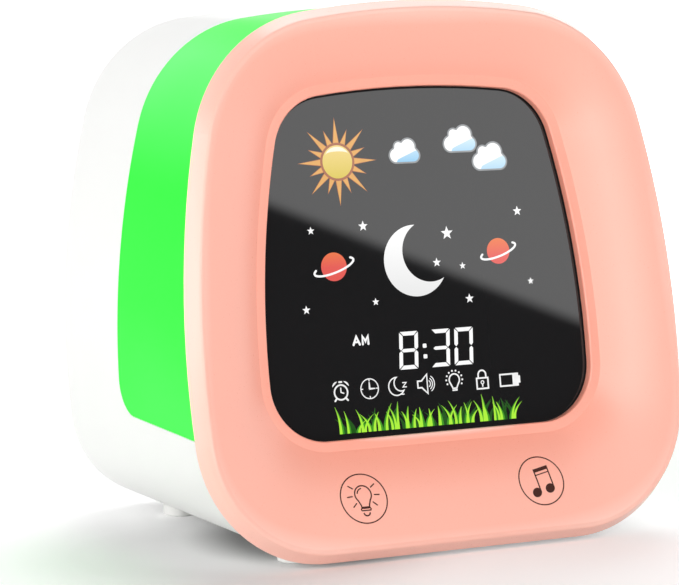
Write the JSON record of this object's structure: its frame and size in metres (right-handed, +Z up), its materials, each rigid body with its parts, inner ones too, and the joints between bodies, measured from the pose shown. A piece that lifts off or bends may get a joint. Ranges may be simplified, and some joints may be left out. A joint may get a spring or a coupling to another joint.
{
  "type": "alarm clock",
  "caption": "Child's bedside alarm clock: soft-square case leaning back, coral dished bezel, dark picture display, green night-light band, white back shell on small feet.",
  "frame": {"origin": "on the table, under the middle of the clock", "axes": "+Z up, the face looks along -Y, +X to the right of someone facing it"},
  "size_m": [0.133, 0.0997, 0.1306],
  "materials": {
    "bezel_plastic": "satin moulded ABS, coral",
    "display_window": "polished smoked acrylic",
    "picture_film": "printed polyester film",
    "white_plastic": "moulded ABS, white",
    "shell_plastic": "satin moulded ABS, white",
    "diffuser_plastic": "satin milky polycarbonate, lit green from behind",
    "circuit_board": "green solder mask on glass-epoxy",
    "led_package": "LED packages, white moulded",
    "black_chip": "moulded epoxy packages",
    "touch_copper": "copper foil pad",
    "screw_steel": "zinc-plated steel",
    "foot_rubber": "soft translucent silicone",
    "key_plastic": "moulded ABS, white",
    "switch_plastic": "moulded nylon",
    "switch_plunger": "moulded acetal",
    "socket_steel": "plated stamped steel",
    "connector_plastic": "moulded nylon, cream",
    "ribbon_film": "flat flexible cable",
    "lead_insulation": "stranded wire in PVC insulation",
    "basket_steel": "pressed steel, black",
    "cone_paper": "treated paper",
    "magnet_ferrite": "ferrite magnet and its cup",
    "gasket_foam": "closed-cell foam",
    "cell_wrap": "shrink wrap on a steel cell"
  },
  "bodies": {
    "clock": {"front_bezel": "bezel_plastic", "display_window": "display_window", "picture_film": "picture_film", "light_reflector": "white_plastic", "display_board": "circuit_board", "display_leds": "led_package", "display_driver": "black_chip", "display_screws": "screw_steel", "touch_pad_left": "touch_copper", "touch_pad_right": "touch_copper", "touch_leads": "lead_insulation", "light_diffuser": "diffuser_plastic", "night_light_board": "circuit_board", "night_light_leds": "led_package", "light_leads": "lead_insulation", "back_shell": "shell_plastic", "case_screws": "screw_steel", "foot_front_left": "foot_rubber", "foot_front_right": "foot_rubber", "foot_rear_left": "foot_rubber", "foot_rear_right": "foot_rubber", "button_switches": "switch_plastic", "power_switch": "switch_plastic", "charging_socket": "socket_steel", "charging_tongue": "switch_plastic", "control_board": "circuit_board", "control_chips": "black_chip", "control_board_screws": "screw_steel", "lead_plugs": "connector_plastic", "ribbon_sockets": "connector_plastic", "display_ribbon": "ribbon_film", "speaker_basket": "basket_steel", "speaker_cone": "cone_paper", "speaker_magnet": "magnet_ferrite", "speaker_gasket": "gasket_foam", "speaker_screws": "screw_steel", "speaker_leads": "lead_insulation", "battery_cell": "cell_wrap", "battery_strap": "white_plastic", "battery_strap_screws": "screw_steel", "battery_leads": "lead_insulation"},
    "alarm_key": {"alarm_button": "key_plastic", "alarm_plunger": "switch_plunger"},
    "clock_key": {"clock_button": "key_plastic", "clock_plunger": "switch_plunger"},
    "nap_key": {"nap_button": "key_plastic", "nap_plunger": "switch_plunger"},
    "sound_key": {"sound_button": "key_plastic", "sound_plunger": "switch_plunger"},
    "minus_key": {"minus_button": "key_plastic", "minus_plunger": "switch_plunger"},
    "plus_key": {"plus_button": "key_plastic", "plus_plunger": "switch_plunger"},
    "power_slide": {"power_slider": "key_plastic"}
  },
  "joints": [
    {"name": "alarm_press", "type": "slide", "parent": "clock", "child": "alarm_key", "axis": [0, -1, 0], "range_m": [0, 0.0006], "stiffness_N_per_m": 2000, "springref_m": -0.0003},
    {"name": "clock_press", "type": "slide", "parent": "clock", "child": "clock_key", "axis": [0, -1, 0], "range_m": [0, 0.0006], "stiffness_N_per_m": 2000, "springref_m": -0.0003},
    {"name": "nap_press", "type": "slide", "parent": "clock", "child": "nap_key", "axis": [0, -1, 0], "range_m": [0, 0.0006], "stiffness_N_per_m": 2000, "springref_m": -0.0003},
    {"name": "sound_press", "type": "slide", "parent": "clock", "child": "sound_key", "axis": [0, -1, 0], "range_m": [0, 0.0006], "stiffness_N_per_m": 2000, "springref_m": -0.0003},
    {"name": "minus_press", "type": "slide", "parent": "clock", "child": "minus_key", "axis": [0, -1, 0], "range_m": [0, 0.0006], "stiffness_N_per_m": 2000, "springref_m": -0.0003},
    {"name": "plus_press", "type": "slide", "parent": "clock", "child": "plus_key", "axis": [0, -1, 0], "range_m": [0, 0.0006], "stiffness_N_per_m": 2000, "springref_m": -0.0003},
    {"name": "power_slide_travel", "type": "slide", "parent": "clock", "child": "power_slide", "axis": [1, 0, 0], "range_m": [0, 0.003]}
  ]
}
